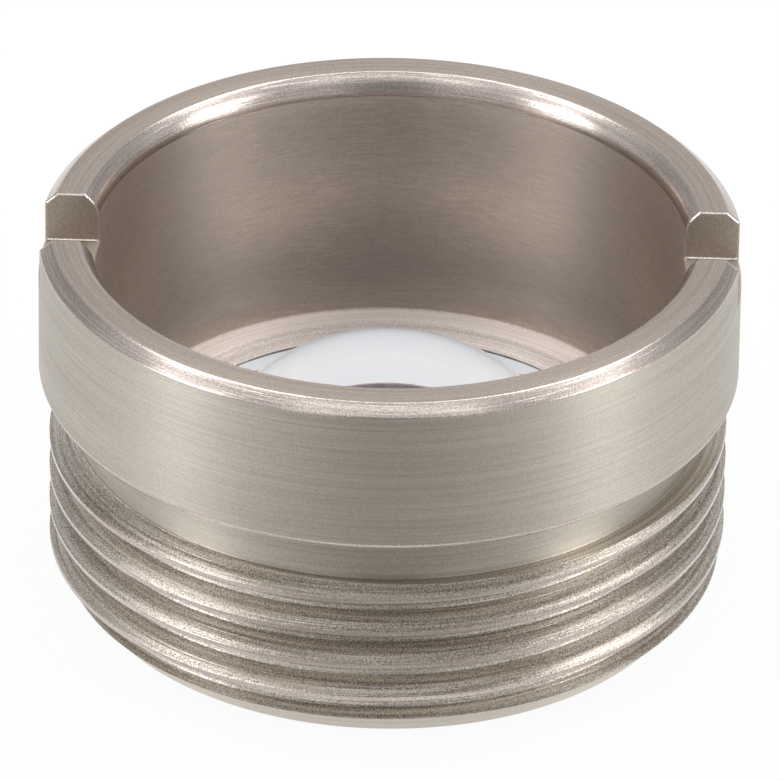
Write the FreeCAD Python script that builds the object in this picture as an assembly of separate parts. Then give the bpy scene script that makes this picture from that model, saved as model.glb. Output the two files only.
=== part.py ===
import FreeCAD, Part
import math
import os

os.makedirs("parts", exist_ok=True)

# A small aspheric lens in its own threaded metal cell, standing on the threaded end.
# All sizes are in millimetres. Z is the optical axis and points up, out of the wide band.
# The front of the object faces -Y and the two spanner slots lie along X.

# External thread, M9 x 0.5, right-hand, with the depth and the crest flat of the metric thread form
thread_nominal_diameter = 9.0
thread_pitch = 0.5
thread_allowance = 0.04
thread_flank_angle = 60.0
thread_depth_share = 17 / 24
crest_flat_share = 1 / 8
thread_length = 2.4
first_crest_height = 0.75

# Housing
housing_height = 5.256
band_diameter = 9.24
band_underside_height = 3.12
band_lower_break_width = 0.045
band_lower_break_height = 0.08
band_top_chamfer_width = 0.165
band_top_chamfer_height = 0.15
rim_width = 0.365
relief_below_root = 0.015
lead_chamfer_base_radius = 4.015
lead_chamfer_angle = 42.0

# Bore that the light leaves through: a slight taper, then a 45 degree chamfer with a soft corner
bore_taper_angle = 3.6
bore_mouth_chamfer = 0.168
bore_mouth_rounding = 0.4
ledge_height = 1.76

# Seat that holds the lens, and the conical aperture under it, which opens towards the lens
lens_clearance = 0.035
seat_chamfer_radius = 3.406
lip_thickness = 0.45
aperture_radius = 2.28
aperture_flare = 0.57

# Spanner slots across the rim
slot_width = 1.18
slot_depth = 0.7

# Lens, one moulded glass asphere
lens_diameter = 6.33
lens_flange_height = 1.22
lens_edge_chamfer = 0.04
dome_height = 1.58
dome_vertex_radius = 2.72
dome_conic = -0.22
back_vertex_radius = 9.4
back_clear_radius = 2.45

# Bead of clear adhesive between the lens edge and the seat
bead_depth = 0.035
bead_reach = 0.05

# Sizes that follow from the ones above
flank_slope = math.tan(math.radians(thread_flank_angle / 2))
sharp_thread_height = thread_pitch / (2 * flank_slope)
thread_depth = sharp_thread_height * thread_depth_share
crest_flat = thread_pitch * crest_flat_share
groove_mouth = thread_pitch - crest_flat
groove_root = groove_mouth - 2 * thread_depth * flank_slope
thread_crest_radius = (thread_nominal_diameter - thread_allowance) / 2
thread_root_radius = thread_crest_radius - thread_depth
relief_radius = thread_root_radius - relief_below_root
band_radius = band_diameter / 2
lens_radius = lens_diameter / 2
seat_radius = lens_radius + lens_clearance
lead_slope = math.tan(math.radians(lead_chamfer_angle))
bore_taper = math.tan(math.radians(bore_taper_angle))
axis_origin = FreeCAD.Vector(0, 0, 0)
axis_up = FreeCAD.Vector(0, 0, 1)
edge_tolerance = 0.000001


def point(radius, height):
    return FreeCAD.Vector(radius, 0, height)


def turned(profile):
    """A solid of revolution from a closed wire drawn in the XZ plane."""
    return Part.Face(profile).revolve(axis_origin, axis_up, 360)


def closed_outline(corners):
    return Part.makePolygon([point(r, z) for r, z in corners] + [point(*corners[0])])


# Housing, turned from one bar of stainless steel
# The outside runs from the threaded end up past the neck relief to the wide band.
rim_outer_radius = band_radius - band_top_chamfer_width
lead_chamfer_top = (thread_crest_radius - lead_chamfer_base_radius) / lead_slope
outside = [
    (lead_chamfer_base_radius, 0),
    (thread_crest_radius, lead_chamfer_top),
    (thread_crest_radius, thread_length),
    (relief_radius, thread_length),
    (relief_radius, band_underside_height),
    (band_radius - band_lower_break_width, band_underside_height),
    (band_radius, band_underside_height + band_lower_break_height),
    (band_radius, housing_height - band_top_chamfer_height),
    (rim_outer_radius, housing_height),
]

# The inside runs down the tapered bore to the ledge, the lens seat and the lip under the lens.
rim_inner_radius = rim_outer_radius - rim_width
bore_mouth_radius = rim_inner_radius - bore_mouth_chamfer
bore_mouth_height = housing_height - bore_mouth_chamfer
bore_foot_radius = bore_mouth_radius - (bore_mouth_height - ledge_height) * bore_taper
seat_chamfer_drop = seat_chamfer_radius - seat_radius
inside = [
    (rim_inner_radius, housing_height),
    (bore_mouth_radius, bore_mouth_height),
    (bore_foot_radius, ledge_height),
    (seat_chamfer_radius, ledge_height),
    (seat_radius, ledge_height - seat_chamfer_drop),
    (seat_radius, lip_thickness),
    (aperture_radius + aperture_flare, lip_thickness),
    (aperture_radius, 0),
]
housing = turned(closed_outline(outside + inside))

# The corner between the bore and its mouth chamfer is rounded off all the way round.
bore_mouth_centre = FreeCAD.Vector(0, 0, bore_mouth_height)
bore_mouth_corner = [
    edge for edge in housing.Edges if edge.CenterOfMass.isEqual(bore_mouth_centre, edge_tolerance)
]
housing = housing.makeFillet(bore_mouth_rounding, bore_mouth_corner)

# The thread is a 60 degree groove that a tool carries along a helix. The cutter's outline reaches past
# the crest, so that it leaves no skin there. The helix starts at +X, a quarter turn past the front,
# and the groove lies half a pitch above its crest. It starts below the end face and runs out in the
# neck relief, so the last turn fades as on a lathe-cut thread.
cutter_overlap = crest_flat / 4
cutter_radius = thread_crest_radius + cutter_overlap / flank_slope
cutter_half_height = groove_mouth / 2 + cutter_overlap
groove_corners = [
    (thread_root_radius, -groove_root / 2),
    (cutter_radius, -cutter_half_height),
    (cutter_radius, cutter_half_height),
    (thread_root_radius, groove_root / 2),
]
groove_start = first_crest_height + thread_pitch / 2 + thread_pitch / 4
while groove_start > -cutter_half_height:
    groove_start = groove_start - thread_pitch
groove_end = thread_length + cutter_half_height
half_turn_rise = thread_pitch / 2
half_turn_angle = 180
half_turns = math.ceil((groove_end - groove_start) / half_turn_rise)


def half_turn(radius, height, count):
    """One half turn of the helix, the given number of half turns after its start."""
    curve = Part.makeHelix(thread_pitch, half_turn_rise, radius)
    curve.translate(FreeCAD.Vector(0, 0, groove_start + height + count * half_turn_rise))
    curve.rotate(axis_origin, axis_up, count * half_turn_angle)
    return curve.Edges[0]


def groove_end_face(count):
    rise = groove_start + count * half_turn_rise
    outline = closed_outline([(radius, height + rise) for radius, height in groove_corners])
    outline.rotate(axis_origin, axis_up, count * half_turn_angle)
    return Part.Face(outline)


groove_faces = [groove_end_face(0), groove_end_face(half_turns)]
for count in range(half_turns):
    for here, there in zip(groove_corners, groove_corners[1:] + groove_corners[:1]):
        groove_faces.append(Part.makeRuledSurface(half_turn(*here, count), half_turn(*there, count)))
groove_shell = Part.Shell(groove_faces)
groove_shell.sewShape()
housing = housing.cut(Part.Solid(groove_shell))

# Two spanner slots, milled straight across the rim
slots = Part.makeBox(
    2 * band_diameter,
    slot_width,
    2 * slot_depth,
    FreeCAD.Vector(-band_diameter, -slot_width / 2, housing_height - slot_depth),
)
housing = housing.cut(slots)
housing.exportStep("parts/housing.step")

# Lens: steep aspheric dome on top, shallow convex surface below, flat flange round both
lens_seat = lip_thickness
flange_top = lens_seat + lens_flange_height
dome_curvature = 1 / dome_vertex_radius
dome_base_radius = math.sqrt(2 * dome_vertex_radius * dome_height - (1 + dome_conic) * dome_height**2)


def dome_point(radius):
    root = math.sqrt(1 - (1 + dome_conic) * (dome_curvature * radius) ** 2)
    drop = dome_curvature * radius**2 / (1 + root)
    return point(radius, flange_top + dome_height - drop)


dome_steps = 12
dome_curve = Part.BSplineCurve()
dome_curve.interpolate([dome_point(dome_base_radius * i / dome_steps) for i in range(dome_steps + 1)])

back_sag = back_vertex_radius - math.sqrt(back_vertex_radius**2 - back_clear_radius**2)
back_middle_radius = back_clear_radius / 2
back_middle_sag = back_vertex_radius - math.sqrt(back_vertex_radius**2 - back_middle_radius**2)
back_arc = Part.Arc(
    point(0, lens_seat - back_sag),
    point(back_middle_radius, lens_seat - back_sag + back_middle_sag),
    point(back_clear_radius, lens_seat),
)
flange_outline = Part.makePolygon(
    [
        point(back_clear_radius, lens_seat),
        point(lens_radius - lens_edge_chamfer, lens_seat),
        point(lens_radius, lens_seat + lens_edge_chamfer),
        point(lens_radius, flange_top - lens_edge_chamfer),
        point(lens_radius - lens_edge_chamfer, flange_top),
        point(dome_base_radius, flange_top),
    ]
)
lens_axis = Part.LineSegment(point(0, flange_top + dome_height), point(0, lens_seat - back_sag))
lens_edges = [back_arc.toShape()] + flange_outline.Edges + [dome_curve.toShape(), lens_axis.toShape()]
lens = turned(Part.Wire(Part.__sortEdges__(lens_edges)))
lens.exportStep("parts/lens.step")

# Adhesive bead: closes the mouth of the gap round the lens and wets the foot of the seat chamfer
bead_top = flange_top - lens_edge_chamfer
seat_chamfer_foot = ledge_height - seat_chamfer_drop
bead = turned(
    closed_outline(
        [
            (lens_radius, seat_chamfer_foot - bead_depth),
            (seat_radius, seat_chamfer_foot - bead_depth),
            (seat_radius, seat_chamfer_foot),
            (seat_radius + bead_reach, seat_chamfer_foot + bead_reach),
            (lens_radius, bead_top),
        ]
    )
)
bead.exportStep("parts/adhesive_ring.step")
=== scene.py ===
import math

import bmesh
import bpy
from mathutils import Matrix, Vector


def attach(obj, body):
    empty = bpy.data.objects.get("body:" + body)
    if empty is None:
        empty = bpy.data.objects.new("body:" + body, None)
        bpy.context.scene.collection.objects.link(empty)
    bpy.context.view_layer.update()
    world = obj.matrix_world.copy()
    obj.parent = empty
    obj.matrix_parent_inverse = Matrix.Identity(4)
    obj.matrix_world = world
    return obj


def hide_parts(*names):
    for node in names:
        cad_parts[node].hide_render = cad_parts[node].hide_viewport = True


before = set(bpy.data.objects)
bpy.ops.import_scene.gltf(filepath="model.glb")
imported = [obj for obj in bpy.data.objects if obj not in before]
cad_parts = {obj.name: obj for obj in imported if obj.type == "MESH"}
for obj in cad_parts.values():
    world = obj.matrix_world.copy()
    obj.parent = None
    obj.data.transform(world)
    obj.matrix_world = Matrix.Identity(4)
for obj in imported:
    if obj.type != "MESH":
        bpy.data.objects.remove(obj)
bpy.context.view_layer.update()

scene = bpy.context.scene
scene.view_settings.view_transform = "Standard"

# Camera
# The photograph looks down about 31 degrees at the front of the lens cell, from far enough away that
# the near and far rims differ little in size. The camera is rolled a little, so the left side sits higher.
MM = 0.001
camera_distance = 167.7 * MM
camera_azimuth = 1.7
camera_elevation = 31.35
camera_roll = 0.807
camera_target = Vector((0, 0, 2.4 * MM))


def direction(azimuth, elevation):
    """The way out from the cell at these angles in degrees; azimuth 0 is the front, and 90 the right."""
    a = math.radians(azimuth)
    e = math.radians(elevation)
    return Vector((math.sin(a) * math.cos(e), -math.cos(a) * math.cos(e), math.sin(e)))


camera_back = direction(camera_azimuth, camera_elevation)
camera_data = bpy.data.cameras.new("camera")
camera_data.sensor_width = 36
camera_data.lens = 584.8
camera_data.shift_x = 0.0025
camera_data.shift_y = 0.0284
camera_data.clip_start = 0.005
camera_data.clip_end = 5
camera = bpy.data.objects.new("camera", camera_data)
scene.collection.objects.link(camera)
camera.location = camera_target + camera_back * camera_distance
camera.rotation_mode = "QUATERNION"
level = (-camera_back).to_track_quat("-Z", "Y")
camera.rotation_quaternion = level @ Matrix.Rotation(math.radians(camera_roll), 4, "Z").to_quaternion()
scene.camera = camera


# Paper floor
# The cell stands on plain white paper. The paper shows white to the camera, the metal and the glass,
# and still takes a soft shadow.
def linear(hex_colour):
    """An sRGB hex colour as the linear colour that the shaders take."""
    channels = [int(hex_colour[i : i + 2], 16) / 255 for i in (1, 3, 5)]
    return [c / 12.92 if c <= 0.04045 else ((c + 0.055) / 1.055) ** 2.4 for c in channels] + [1.0]


def add_node(tree, kind, settings=None, inputs=None):
    """Adds a node, sets its own settings, and sets or links its inputs by name or number."""
    node = tree.nodes.new(kind)
    for name, value in (settings or {}).items():
        setattr(node, name, value)
    for name, value in (inputs or {}).items():
        if isinstance(value, bpy.types.NodeSocket):
            tree.links.new(value, node.inputs[name])
        else:
            node.inputs[name].default_value = value
    return node


def new_material(name):
    material = bpy.data.materials.new(name)
    material.use_nodes = True
    material.node_tree.nodes.clear()
    return material, material.node_tree


def seen_rays(tree):
    """One for the rays that see the background: from the camera, through glass and off metal."""
    path = add_node(tree, "ShaderNodeLightPath")
    seen = add_node(
        tree,
        "ShaderNodeMath",
        {"operation": "MAXIMUM"},
        {0: path.outputs["Is Camera Ray"], 1: path.outputs["Is Transmission Ray"]},
    )
    return add_node(
        tree,
        "ShaderNodeMath",
        {"operation": "MAXIMUM"},
        {0: seen.outputs[0], 1: path.outputs["Is Glossy Ray"]},
    )


# Nearly all of its white is a glow for those rays, and the rest is plain paper that takes the shadow.
paper_glow_share = 0.93
paper, tree = new_material("white_paper")
diffuse = add_node(tree, "ShaderNodeBsdfDiffuse", inputs={"Color": linear("#fafaf8")})
glow = add_node(tree, "ShaderNodeEmission", inputs={"Color": (1, 1, 1, 1), "Strength": 1.0})
share = add_node(
    tree, "ShaderNodeMath", {"operation": "MULTIPLY"}, {0: seen_rays(tree).outputs[0], 1: paper_glow_share}
)
mix = add_node(
    tree, "ShaderNodeMixShader", inputs={0: share.outputs[0], 1: diffuse.outputs[0], 2: glow.outputs[0]}
)
add_node(tree, "ShaderNodeOutputMaterial", inputs={"Surface": mix.outputs[0]})

floor_half = 250 * MM
floor_drop = 0.002 * MM
floor_corners = [(-1, -1), (1, -1), (1, 1), (-1, 1)]
floor_mesh = bpy.data.meshes.new("floor")
floor_mesh.from_pydata(
    [(x * floor_half, y * floor_half, -floor_drop) for x, y in floor_corners], [], [(0, 1, 2, 3)]
)
floor_mesh.materials.append(paper)
floor = bpy.data.objects.new("floor", floor_mesh)
scene.collection.objects.link(floor)

# White tent
# A tent of white cloth stands round the paper and lights the cell evenly. The metal mirrors its cloth as
# pale grey, dimmer in the corners behind, with a darker strip that runs from the opening in front, where
# the camera looks in, up over the top. The camera and the glass see it white.
tent_light = 0.4
tent_colour = linear("#d4d4d4")
corner_colour = linear("#b4b4b4")
strip_colour = linear("#9a9a9a")
strip_middle = 0.05
world = bpy.data.worlds.new("white_tent")
scene.world = world
world.use_nodes = True
tree = world.node_tree
tree.nodes.clear()
path = add_node(tree, "ShaderNodeLightPath")
place = add_node(tree, "ShaderNodeTexCoord")
split = add_node(tree, "ShaderNodeSeparateXYZ", inputs={0: place.outputs["Generated"]})
sideways = add_node(tree, "ShaderNodeMath", {"operation": "SUBTRACT"}, {0: split.outputs[0], 1: strip_middle})
off_middle = add_node(tree, "ShaderNodeMath", {"operation": "ABSOLUTE"}, {0: sideways.outputs[0]})

# Each tone of the cloth begins with a soft step, from none to full between two distances to the side or
# to the back, as a share of the distance to the cloth.
steps = {}
for name, distance, none, full in (
    ("corner_aside", off_middle.outputs[0], 0.42, 0.6),
    ("corner_behind", split.outputs[1], 0.15, 0.4),
    ("beside_strip", off_middle.outputs[0], 0.14, 0.34),
    ("behind_strip", split.outputs[1], 0.1, 0.4),
):
    step = add_node(
        tree,
        "ShaderNodeMapRange",
        {"interpolation_type": "SMOOTHSTEP"},
        {"Value": distance, "From Min": none, "From Max": full},
    )
    steps[name] = step.outputs[0]
in_corner = add_node(
    tree, "ShaderNodeMath", {"operation": "MULTIPLY"}, {0: steps["corner_aside"], 1: steps["corner_behind"]}
)
off_strip = add_node(
    tree, "ShaderNodeMath", {"operation": "MAXIMUM"}, {0: steps["beside_strip"], 1: steps["behind_strip"]}
)
cloth = add_node(
    tree, "ShaderNodeMix", {"data_type": "RGBA"}, {0: in_corner.outputs[0], 6: tent_colour, 7: corner_colour}
)
inside = add_node(
    tree,
    "ShaderNodeMix",
    {"data_type": "RGBA"},
    {0: off_strip.outputs[0], 6: strip_colour, 7: cloth.outputs[2]},
)
mirrored = add_node(tree, "ShaderNodeBackground", inputs={"Color": inside.outputs[2], "Strength": 1.0})
white = add_node(tree, "ShaderNodeBackground", inputs={"Color": (1, 1, 1, 1), "Strength": 1.0})
light = add_node(tree, "ShaderNodeBackground", inputs={"Color": (1, 1, 1, 1), "Strength": tent_light})
lit = add_node(
    tree,
    "ShaderNodeMixShader",
    inputs={0: seen_rays(tree).outputs[0], 1: light.outputs[0], 2: white.outputs[0]},
)
mix = add_node(
    tree,
    "ShaderNodeMixShader",
    inputs={0: path.outputs["Is Glossy Ray"], 1: lit.outputs[0], 2: mirrored.outputs[0]},
)
add_node(tree, "ShaderNodeOutputWorld", inputs={"Surface": mix.outputs[0]})

# Soft boxes
# Two low boxes at the sides make the pale stripes on the band and in the bore, and two high ones carry
# the stripes on over the thread. One high in front lights the chamfers, and one overhead shines into
# the bore. They aren't seen through the glass.
box_distance = 120 * MM


def soft_box(name, azimuth, elevation, width, height, watts):
    """A square-edged lamp that faces the cell, with its width and height in millimetres."""
    lamp = bpy.data.lights.new(name, "AREA")
    lamp.shape = "RECTANGLE"
    lamp.size = width * MM
    lamp.size_y = height * MM
    lamp.energy = watts
    box = bpy.data.objects.new(name, lamp)
    box.location = direction(azimuth, elevation) * box_distance
    box.rotation_mode = "QUATERNION"
    box.rotation_quaternion = (-box.location).to_track_quat("-Z", "Y")
    box.visible_transmission = False
    scene.collection.objects.link(box)


soft_box("key_box", 2, 64, 90, 30, 0.0105)
soft_box("left_box", -66, 26, 46, 64, 0.03)
soft_box("right_box", 72, 26, 46, 64, 0.032)
soft_box("left_top_box", -107, 63, 50, 50, 0.033)
soft_box("right_top_box", 114, 61, 50, 50, 0.034)
soft_box("bore_box", 180, 82, 60, 40, 0.019)

# Grey sheet
# A sheet of grey paper lies in front, outside the picture. Only reflections see it: it keeps the middle
# of the band and of the thread darker than their sides, and fades to white at its own sides. Its angles
# are in degrees and its distances in millimetres.
sheet_middle = 4
sheet_half_width = 56
sheet_full_grey = 12
sheet_near = 6
sheet_far = 90
sheet_lift = 0.01
sheet_steps = 24
grey_paper, tree = new_material("grey_paper")
place = add_node(tree, "ShaderNodeTexCoord")
split = add_node(tree, "ShaderNodeSeparateXYZ", inputs={0: place.outputs["Object"]})
ahead = add_node(tree, "ShaderNodeMath", {"operation": "MULTIPLY"}, {0: split.outputs[1], 1: -1.0})
angle = add_node(tree, "ShaderNodeMath", {"operation": "ARCTAN2"}, {0: split.outputs[0], 1: ahead.outputs[0]})
aside = add_node(
    tree, "ShaderNodeMath", {"operation": "SUBTRACT"}, {0: angle.outputs[0], 1: math.radians(sheet_middle)}
)
off_middle = add_node(tree, "ShaderNodeMath", {"operation": "ABSOLUTE"}, {0: aside.outputs[0]})
fade = add_node(
    tree,
    "ShaderNodeMapRange",
    {"interpolation_type": "SMOOTHSTEP"},
    {
        "Value": off_middle.outputs[0],
        "From Min": math.radians(sheet_full_grey),
        "From Max": math.radians(sheet_half_width),
    },
)
tone = add_node(
    tree,
    "ShaderNodeMix",
    {"data_type": "RGBA"},
    {0: fade.outputs[0], 6: linear("#b6b4ae"), 7: linear("#f8f8f8")},
)
glow = add_node(tree, "ShaderNodeEmission", inputs={"Color": tone.outputs[2], "Strength": 1.0})
add_node(tree, "ShaderNodeOutputMaterial", inputs={"Surface": glow.outputs[0]})
sheet_points = []
for i in range(sheet_steps + 1):
    turn = math.radians(sheet_middle + sheet_half_width * (2 * i / sheet_steps - 1))
    for reach in (sheet_near, sheet_far):
        sheet_points.append((reach * math.sin(turn) * MM, -reach * math.cos(turn) * MM, sheet_lift * MM))
sheet_mesh = bpy.data.meshes.new("grey_sheet")
sheet_mesh.from_pydata(
    sheet_points, [], [(2 * i, 2 * i + 1, 2 * i + 3, 2 * i + 2) for i in range(sheet_steps)]
)
sheet_mesh.materials.append(grey_paper)
sheet = bpy.data.objects.new("grey_sheet", sheet_mesh)
scene.collection.objects.link(sheet)
sheet.visible_camera = False
sheet.visible_diffuse = False
sheet.visible_shadow = False
sheet.visible_transmission = False


# Housing
# One piece turned from stainless bar: threaded end with a lead chamfer, neck relief, plain band, rim with
# two milled spanner slots, bore with a rounded mouth, ledge, lens seat and the lip under the lens.
def turned_metal(name, dark, light, roughness, anisotropic, ring, length, depth):
    """Metal with the rings of a turning tool: their spacing, length and depth are in millimetres."""
    grain_size = 0.02
    scratch_ring = ring * 0.7
    scratch_length = length * 0.6
    material, tree = new_material(name)
    place = add_node(tree, "ShaderNodeTexCoord")
    split = add_node(tree, "ShaderNodeSeparateXYZ", inputs={0: place.outputs["Object"]})
    flat = add_node(tree, "ShaderNodeCombineXYZ", inputs={0: split.outputs[0], 1: split.outputs[1]})
    radius = add_node(tree, "ShaderNodeVectorMath", {"operation": "LENGTH"}, {0: flat.outputs[0]})

    def rings(spacing, reach, detail):
        """Noise that is drawn out round the axis, on faces that lie across it and along it alike."""
        stretched = add_node(
            tree,
            "ShaderNodeVectorMath",
            {"operation": "MULTIPLY"},
            {0: place.outputs["Object"], 1: (1 / (reach * MM), 1 / (reach * MM), 1 / (spacing * MM))},
        )
        across = add_node(
            tree,
            "ShaderNodeMath",
            {"operation": "MULTIPLY"},
            {0: radius.outputs["Value"], 1: 1 / (spacing * MM)},
        )
        return add_node(
            tree,
            "ShaderNodeTexNoise",
            {"noise_dimensions": "4D"},
            {
                "Vector": stretched.outputs[0],
                "W": across.outputs[0],
                "Scale": 1.0,
                "Detail": detail,
                "Roughness": 0.6,
            },
        )

    fine = rings(ring, length, 2.0)
    scratch = rings(scratch_ring, scratch_length, 0.0)
    grain = add_node(
        tree,
        "ShaderNodeTexNoise",
        inputs={"Vector": place.outputs["Object"], "Scale": 1 / (grain_size * MM), "Detail": 1.0},
    )
    marks = add_node(tree, "ShaderNodeMath", {"operation": "ADD"}, {0: fine.outputs[0], 1: grain.outputs[0]})
    tone = add_node(
        tree, "ShaderNodeMapRange", inputs={"Value": marks.outputs[0], "From Min": 0.75, "From Max": 1.25}
    )
    colour = add_node(
        tree, "ShaderNodeMix", {"data_type": "RGBA"}, {0: tone.outputs[0], 6: linear(dark), 7: linear(light)}
    )
    worn = add_node(
        tree,
        "ShaderNodeMapRange",
        inputs={"Value": tone.outputs[0], "To Min": roughness * 1.12, "To Max": roughness * 0.9},
    )
    # Only the peaks of the second noise count, so that single scratches stand apart.
    scratched = add_node(
        tree, "ShaderNodeMapRange", inputs={"Value": scratch.outputs[0], "From Min": 0.66, "From Max": 0.76}
    )
    height = add_node(
        tree, "ShaderNodeMath", {"operation": "SUBTRACT"}, {0: marks.outputs[0], 1: scratched.outputs[0]}
    )
    bump = add_node(
        tree, "ShaderNodeBump", inputs={"Strength": 0.5, "Distance": depth * MM, "Height": height.outputs[0]}
    )
    tangent = add_node(tree, "ShaderNodeTangent", {"direction_type": "RADIAL", "axis": "Z"})
    shader = add_node(
        tree,
        "ShaderNodeBsdfPrincipled",
        inputs={
            "Base Color": colour.outputs[2],
            "Metallic": 1.0,
            "Roughness": worn.outputs[0],
            "Anisotropic": anisotropic,
            "Anisotropic Rotation": 0.25,
            "Normal": bump.outputs[0],
            "Tangent": tangent.outputs[0],
        },
    )
    add_node(tree, "ShaderNodeOutputMaterial", inputs={"Surface": shader.outputs[0]})
    return material


# Stainless steel, finish-turned on the outside: rings about 0.03 mm apart draw highlights out along
# the axis.
turned_steel = turned_metal(
    "finish_turned_stainless_steel",
    dark="#bab3a8",
    light="#cfc9be",
    roughness=0.42,
    anisotropic=0.9,
    ring=0.03,
    length=3.0,
    depth=0.0012,
)
# The same steel, faced across the rim: coarser concentric tool marks that catch the light.
faced_steel = turned_metal(
    "faced_stainless_steel",
    dark="#b6a89c",
    light="#d4c7bd",
    roughness=0.27,
    anisotropic=0.85,
    ring=0.05,
    length=4.0,
    depth=0.003,
)
# The same steel, bored: a duller wall, since the long thin boring tool leaves a rougher surface.
bored_steel = turned_metal(
    "bored_stainless_steel",
    dark="#beb2a8",
    light="#d8ccc2",
    roughness=0.42,
    anisotropic=0.72,
    ring=0.03,
    length=0.3,
    depth=0.0018,
)
# The same steel, milled in the slots: an even matt grey-brown with no rings.
milled_steel = turned_metal(
    "milled_stainless_steel",
    dark="#a89c90",
    light="#bcb0a4",
    roughness=0.6,
    anisotropic=0.0,
    ring=0.05,
    length=0.05,
    depth=0.002,
)
# The same steel where the tool or a stone broke the edges: narrow faces burnished brighter than the rest.
burnished_steel = turned_metal(
    "burnished_stainless_steel",
    dark="#b2a59d",
    light="#dcd2cc",
    roughness=0.22,
    anisotropic=0.7,
    ring=0.03,
    length=1.6,
    depth=0.0026,
)
# The same steel on the flanks of the thread, torn a little by the threading tool: dark and light streaks.
threaded_steel = turned_metal(
    "thread_cut_stainless_steel",
    dark="#867a70",
    light="#efe8dd",
    roughness=0.32,
    anisotropic=0.8,
    ring=0.05,
    length=8.0,
    depth=0.006,
)
# The same steel, skimmed lightly on the ledge, on the seat chamfer and in the aperture: silky, with faint
# rings. Its colour is painted paler than steel: painted light for these deep faces, which get little light.
skimmed_steel_painted_light = turned_metal(
    "skimmed_steel_painted_pale",
    dark="#dcd1ca",
    light="#f3eae5",
    roughness=0.7,
    anisotropic=0.75,
    ring=0.04,
    length=4.0,
    depth=0.002,
)


def show(name, mesh, materials, node):
    """Makes the mesh a piece of the object that stands for a node of the frame."""
    mesh.materials.clear()
    for material in materials:
        mesh.materials.append(material)
    piece = bpy.data.objects.new(name, mesh)
    scene.collection.objects.link(piece)
    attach(piece, "root")
    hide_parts(node)


def with_modifiers(mesh, modifiers):
    """The mesh after these modifiers, each given as its kind and its settings."""
    thing = bpy.data.objects.new("work", mesh)
    scene.collection.objects.link(thing)
    for kind, settings in modifiers:
        modifier = thing.modifiers.new(kind.lower(), kind)
        for name, value in settings.items():
            setattr(modifier, name, value)
    graph = bpy.context.evaluated_depsgraph_get()
    graph.update()
    result = bpy.data.meshes.new_from_object(thing.evaluated_get(graph))
    bpy.data.objects.remove(thing)
    return result


def cut_away(mesh, cutter_mesh):
    cutter = bpy.data.objects.new("cutter", cutter_mesh)
    scene.collection.objects.link(cutter)
    cut = {"operation": "DIFFERENCE", "solver": "EXACT", "object": cutter}
    result = with_modifiers(mesh, [("BOOLEAN", cut)])
    bpy.data.objects.remove(cutter)
    return result


# The sizes are in millimetres and are those of the CAD. The thread is M9 x 0.5.
pitch = 0.5
flank_slope = math.tan(math.radians(30))
crest = 4.48
thread_depth = pitch / (2 * flank_slope) * 17 / 24
root = crest - thread_depth
relief = root - 0.015
thread_top = 2.4
lead_foot = 4.015
lead_top = (crest - lead_foot) / math.tan(math.radians(42))
height = 5.256
band = 4.62
band_foot = 3.12
band_break_width = 0.045
band_break_height = 0.08
rim_outer = 4.455
rim_inner = 4.09
rim_chamfer_height = 0.15
slot_floor = 4.556
slot_half = 0.59
ledge = 1.76
seat_chamfer = 3.406
seat = 3.2
seat_foot = ledge - (seat_chamfer - seat)
lip = 0.45
aperture = 2.28
aperture_flare = 0.57

# The corner between the bore and its mouth chamfer is an arc that leaves both of them smoothly.
bore_lean = math.radians(3.6)
mouth_lean = math.radians(45)
mouth_chamfer = 0.168
mouth_rounding = 0.4
mouth_radius = rim_inner - mouth_chamfer
mouth_height = height - mouth_chamfer
bore_foot = mouth_radius - (mouth_height - ledge) * math.tan(bore_lean)
slot_foot = bore_foot + (slot_floor - ledge) * math.tan(bore_lean)
tangent_length = mouth_rounding * math.tan((mouth_lean - bore_lean) / 2)
arc_radius = mouth_radius + tangent_length * math.sin(mouth_lean) + mouth_rounding * math.cos(mouth_lean)
arc_height = mouth_height + tangent_length * math.cos(mouth_lean) - mouth_rounding * math.sin(mouth_lean)
arc_steps = 10
mouth_arc = []
for i in range(arc_steps + 1):
    lean = mouth_lean + (bore_lean - mouth_lean) * i / arc_steps
    mouth_arc.append(
        (arc_radius - mouth_rounding * math.cos(lean), arc_height + mouth_rounding * math.sin(lean))
    )
mouth_arc_foot = mouth_arc[-1][1]

# The tip of the boring tool leaves a small round corner at the foot of the wall.
tool_nose = 0.05
corner_steps = 4
ledge_corner = []
for i in range(corner_steps + 1):
    turn = math.radians(90) * i / corner_steps
    ledge_corner.append(
        (bore_foot - tool_nose * (1 - math.cos(turn)), ledge + tool_nose * (1 - math.sin(turn)))
    )

# The outline goes up the outside and down the inside, as (radius, height).
housing_outline = [
    (lead_foot, 0),
    (crest, lead_top),
    (crest, thread_top),
    (relief, thread_top),
    (relief, band_foot),
    (band - band_break_width, band_foot),
    (band, band_foot + band_break_height),
    (band, slot_floor),
    (band, height - rim_chamfer_height),
    (rim_outer, height),
    (rim_inner, height),
    *mouth_arc,
    (slot_foot, slot_floor),
    *ledge_corner,
    (seat_chamfer, ledge),
    (seat, seat_foot),
    (seat, lip),
    (aperture + aperture_flare, lip),
    (aperture, 0),
]

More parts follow.
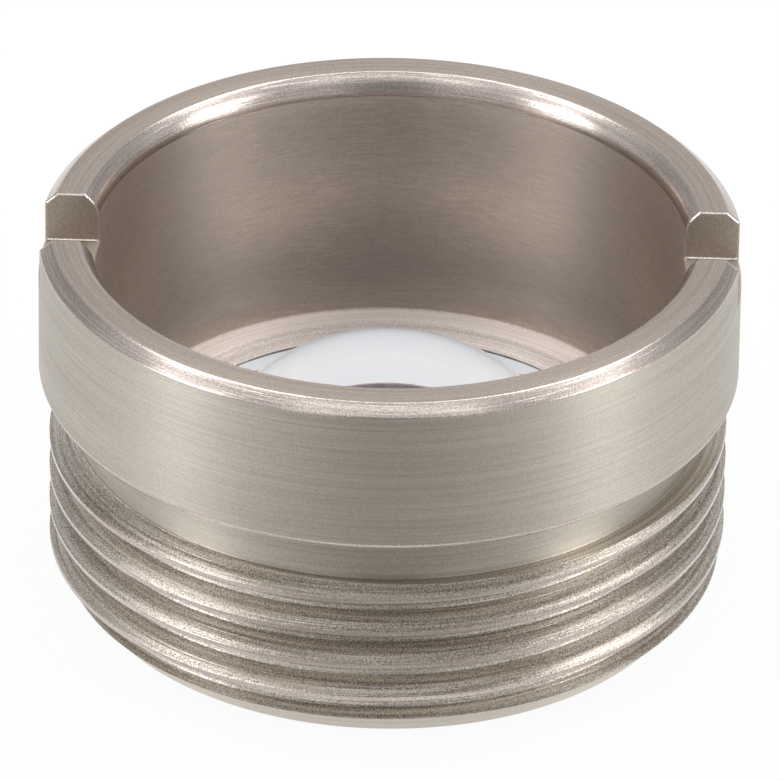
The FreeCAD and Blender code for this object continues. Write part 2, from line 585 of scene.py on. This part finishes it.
# The columns of points meet the walls of the two slots, which are parallel and don't point at the axis.
# Between the walls, no column has points above the floor of the slot.
arc_columns = 180
slot_columns = 16
half_ring = arc_columns + slot_columns
columns = 2 * half_ring
outer_floor, inner_floor = [row for row, (radius, z) in enumerate(housing_outline) if z == slot_floor]
shape = bmesh.new()
points = {}
for row, (radius, z) in enumerate(housing_outline):
    wall = math.asin(slot_half / radius)
    for side in range(2):
        for i in range(half_ring):
            if i <= arc_columns:
                turn = wall + (math.pi - 2 * wall) * i / arc_columns
            else:
                turn = math.pi + wall * (2 * (i - arc_columns) / slot_columns - 1)
            if i <= arc_columns or z <= slot_floor:
                turn += side * math.pi
                points[row, side * half_ring + i] = shape.verts.new(
                    (radius * math.cos(turn) * MM, radius * math.sin(turn) * MM, z * MM)
                )
for row in range(len(housing_outline)):
    next_row = (row + 1) % len(housing_outline)
    for column in range(columns):
        next_column = (column + 1) % columns
        corners = [(row, column), (row, next_column), (next_row, next_column), (next_row, column)]
        if all(corner in points for corner in corners) and (row, next_row) != (outer_floor, inner_floor):
            shape.faces.new([points[corner] for corner in corners])
slot_faces = []
for side in range(2):
    for column in (side * half_ring, side * half_ring + arc_columns):
        wall_points = [points[row, column] for row in range(outer_floor, inner_floor + 1)]
        slot_faces.append(shape.faces.new(wall_points))
    for column in range(side * half_ring + arc_columns, (side + 1) * half_ring):
        next_column = (column + 1) % columns
        corners = [
            (outer_floor, column),
            (outer_floor, next_column),
            (inner_floor, next_column),
            (inner_floor, column),
        ]
        slot_faces.append(shape.faces.new([points[corner] for corner in corners]))
bmesh.ops.recalc_face_normals(shape, faces=shape.faces)

# The turning tool breaks the edges a little, and a file breaks those of the slots a little more.
edge_break = 0.016
slot_edge_break = 0.04
sharp = math.radians(25)
weight = shape.edges.layers.float.new("bevel_weight_edge")
for edge in shape.edges:
    if edge.calc_face_angle(0) > sharp:
        edge[weight] = edge_break / slot_edge_break
for face in slot_faces:
    for edge in face.edges:
        if edge.calc_face_angle(0) > sharp:
            edge[weight] = 1.0
housing_mesh = bpy.data.meshes.new("turned")
shape.to_mesh(housing_mesh)
shape.free()
broken_edges = {
    "width": slot_edge_break * MM,
    "segments": 3,
    "limit_method": "WEIGHT",
    "use_clamp_overlap": False,
}
housing_mesh = with_modifiers(housing_mesh, [("BEVEL", broken_edges)])

# The thread is cut by one helical groove, with its root rounded by the nose of the tool. The cutter
# reaches a little past the crest. It starts at +X below the end face, three turns under the groove that
# lies above the first crest in front, and runs out in the neck relief.
crest_flat = pitch / 8
groove_half = (pitch - crest_flat) / 2
root_half = groove_half - thread_depth * flank_slope
root_rounding = 0.02
over = 0.02
groove_outline = [
    (root + root_rounding, -root_half - root_rounding * flank_slope),
    (crest + over, -groove_half - over * flank_slope),
    (crest + over, groove_half + over * flank_slope),
    (root + root_rounding, root_half + root_rounding * flank_slope),
    (root + root_rounding * 0.25, root_half * 0.7),
    (root, 0),
    (root + root_rounding * 0.25, -root_half * 0.7),
]
first_crest = 0.75
steps_per_turn = 360
groove_low = first_crest + pitch / 2 + pitch / 4 - 3 * pitch
groove_turns = (thread_top + groove_half + over - groove_low) / pitch
groove = bmesh.new()
loops = []
for i in range(math.ceil(groove_turns * steps_per_turn) + 1):
    turn = 2 * math.pi * i / steps_per_turn
    rise = groove_low + pitch * i / steps_per_turn
    loop = []
    for radius, z in groove_outline:
        loop.append(
            groove.verts.new((radius * math.cos(turn) * MM, radius * math.sin(turn) * MM, (z + rise) * MM))
        )
    loops.append(loop)
for here, there in zip(loops, loops[1:]):
    for k in range(len(groove_outline)):
        m = (k + 1) % len(groove_outline)
        groove.faces.new((here[k], here[m], there[m], there[k]))
groove.faces.new(loops[0])
groove.faces.new(loops[-1])
bmesh.ops.recalc_face_normals(groove, faces=groove.faces)
groove_mesh = bpy.data.meshes.new("groove")
groove.to_mesh(groove_mesh)
groove.free()
housing_mesh = cut_away(housing_mesh, groove_mesh)
housing_mesh.shade_smooth()
housing_mesh.set_sharp_from_angle(angle=sharp)
housing_mesh = with_modifiers(housing_mesh, [("WEIGHTED_NORMAL", {"keep_sharp": True})])
show(
    "turned_cell",
    housing_mesh,
    [turned_steel, faced_steel, bored_steel, milled_steel, burnished_steel, threaded_steel, skimmed_steel_painted_light],
    "housing",
)

# Each face gets the finish of the tool that made it; the ledge, the seat chamfer and the aperture also
# get painted light. The faces are told apart by where they are, and by how far they look up or away
# from the axis, where 1 is straight up or out. The plain outside, the end face and the seat stay as they
# were turned.
turned, faced, bored, milled, burnished, threaded, skimmed_painted_light = range(7)
near = 0.001
flat = 0.98
slot_reach = slot_edge_break + 0.002
bore_side = bore_foot + 0.25
band_edge = band_foot + 0.1
end_edge = 0.05
under_crest = crest - 0.003
under_lead_top = lead_top - 0.02
for face in housing_mesh.polygons:
    x, y, z = face.center / MM
    radius = math.hypot(x, y)
    up = face.normal.z
    outward = (face.normal.x * x + face.normal.y * y) / radius
    at_slot = abs(y) < slot_half + slot_reach and z > slot_floor - slot_reach
    in_slot = abs(y) < slot_half + near and (abs(face.normal.y) > flat or up > flat)
    on_outside = bore_foot < radius < under_crest and outward > -0.1
    if at_slot and in_slot:
        finish = milled
    elif at_slot and up < flat:
        finish = burnished if up > 0.3 and radius > bore_side else milled
    elif z > mouth_arc_foot and 0.1 < up < 0.97:
        finish = burnished
    elif band_foot + near < z < band_edge and up < -0.1:
        finish = burnished
    elif on_outside and end_edge < z < thread_top + near and up > -0.99:
        finish = turned if up < -0.6 and z < under_lead_top else threaded
    elif radius > under_crest and z < thread_top:
        finish = burnished
    # The aperture, the seat chamfer and the ledge take the skimmed steel, painted pale as painted light.
    elif (z < lip and outward < -0.1) or (seat_foot < z < ledge + tool_nose and up > 0.2):
        finish = skimmed_painted_light
    elif outward < -0.6 and z > ledge:
        finish = bored
    elif up > 0.5 and z > seat_foot and radius < rim_outer:
        finish = faced
    else:
        finish = turned
    face.material_index = finish

# Lens
# Optical glass, moulded in one piece: a steep aspheric dome, a flat flange and a shallow convex back.
# A film a quarter of a wave thick keeps its reflections faint, so it looks clear and takes on the white
# round it. The resin holds it in its seat.
lens_glass, tree = new_material("moulded_optical_glass")
shader = add_node(
    tree,
    "ShaderNodeBsdfPrincipled",
    inputs={
        "Base Color": linear("#eeeef0"),
        "Roughness": 0.0,
        "IOR": 1.6,
        "Transmission Weight": 1.0,
        "Thin Film Thickness": 100.0,
        "Thin Film IOR": 1.38,
    },
)
add_node(tree, "ShaderNodeOutputMaterial", inputs={"Surface": shader.outputs[0]})

dome_top = 3.25
flange_top = 1.67
lens_edge = 3.165
lens_chamfer = 0.04
vertex_radius = 2.72
conic = -0.22
back_radius = 9.4
back_edge = 2.45


def dome_height(radius):
    under_root = 1 - (1 + conic) * (radius / vertex_radius) ** 2
    return dome_top - radius**2 / vertex_radius / (1 + math.sqrt(under_root))


dome_drop = dome_top - flange_top
dome_base = math.sqrt(2 * vertex_radius * dome_drop - (1 + conic) * dome_drop**2)
dome_rings = 72
back_rings = 24
lens_outline = []
for i in range(dome_rings + 1):
    lens_outline.append((dome_base * i / dome_rings, dome_height(dome_base * i / dome_rings)))
lens_outline += [
    (lens_edge - lens_chamfer, flange_top),
    (lens_edge, flange_top - lens_chamfer),
    (lens_edge, lip + lens_chamfer),
    (lens_edge - lens_chamfer, lip),
]
back_sag = back_radius - math.sqrt(back_radius**2 - back_edge**2)
for i in range(back_rings + 1):
    radius = back_edge * (1 - i / back_rings)
    lens_outline.append((radius, lip - back_sag + back_radius - math.sqrt(back_radius**2 - radius**2)))


def revolve(outline, steps):
    """A mesh turned about the Z axis from (radius, height) points in millimetres."""
    shape = bmesh.new()
    rows = []
    for radius, z in outline:
        row = []
        for i in range(1 if radius == 0 else steps):
            turn = 2 * math.pi * i / steps
            row.append(shape.verts.new((radius * math.cos(turn) * MM, radius * math.sin(turn) * MM, z * MM)))
        rows.append(row)
    for low, high in zip(rows, rows[1:]):
        for i in range(steps):
            j = (i + 1) % steps
            if len(low) == 1:
                shape.faces.new((low[0], high[j], high[i]))
            elif len(high) == 1:
                shape.faces.new((low[i], low[j], high[0]))
            else:
                shape.faces.new((low[i], low[j], high[j], high[i]))
    bmesh.ops.recalc_face_normals(shape, faces=shape.faces)
    mesh = bpy.data.meshes.new("turned")
    shape.to_mesh(mesh)
    shape.free()
    return mesh


lens_mesh = revolve(lens_outline, 256)
lens_mesh.shade_smooth()
lens_mesh.set_sharp_from_angle(angle=math.radians(20))

# The sharp corners of the flange are ground off, which leaves them frosted white. The grit is drawn
# coarser than the real one, so that it shows.
frost_grain = 0.05
ground_glass, tree = new_material("ground_glass")
place = add_node(tree, "ShaderNodeTexCoord")
frost = add_node(
    tree,
    "ShaderNodeTexNoise",
    inputs={"Vector": place.outputs["Object"], "Scale": 1 / (frost_grain * MM), "Detail": 2.0},
)
tone = add_node(
    tree,
    "ShaderNodeMix",
    {"data_type": "RGBA"},
    {0: frost.outputs[0], 6: linear("#dfe2e2"), 7: linear("#fbfbfb")},
)
shader = add_node(
    tree,
    "ShaderNodeBsdfPrincipled",
    inputs={"Base Color": tone.outputs[2], "Roughness": 0.6, "IOR": 1.6, "Transmission Weight": 0.3},
)
add_node(tree, "ShaderNodeOutputMaterial", inputs={"Surface": shader.outputs[0]})
show("moulded_lens", lens_mesh, [lens_glass, ground_glass], "lens")
for face in lens_mesh.polygons:
    x, y, _ = face.center / MM
    on_corner = math.hypot(x, y) > lens_edge - lens_chamfer + near and 0.05 < abs(face.normal.z) < 0.95
    if on_corner:
        face.material_index = 1

# Adhesive ring
# A thin bead of clear resin, run into the gap between the lens edge and its seat as a liquid and cured
# there. It has the slight ripples of a run liquid. Its near-white colour is painted light, standing in for
# the bright metal and light seen through the clear resin, so it shows as a pale glossy line.
ripple_length = 0.4
ripple_height = 0.03
pale_painted_resin, tree = new_material("resin_with_painted_light")
place = add_node(tree, "ShaderNodeTexCoord")
ripples = add_node(
    tree,
    "ShaderNodeTexNoise",
    inputs={"Vector": place.outputs["Object"], "Scale": 1 / (ripple_length * MM), "Detail": 2.0},
)
bump = add_node(
    tree,
    "ShaderNodeBump",
    inputs={"Strength": 0.6, "Distance": ripple_height * MM, "Height": ripples.outputs[0]},
)
# Painted light: a near-white base with little transmission, where the real resin is clear.
shader = add_node(
    tree,
    "ShaderNodeBsdfPrincipled",
    inputs={
        "Base Color": linear("#faf9f6"),
        "Roughness": 0.12,
        "IOR": 1.5,
        "Transmission Weight": 0.15,
        "Normal": bump.outputs[0],
    },
)
add_node(tree, "ShaderNodeOutputMaterial", inputs={"Surface": shader.outputs[0]})
for ring_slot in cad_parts["adhesive_ring"].material_slots:
    ring_slot.material = pale_painted_resin
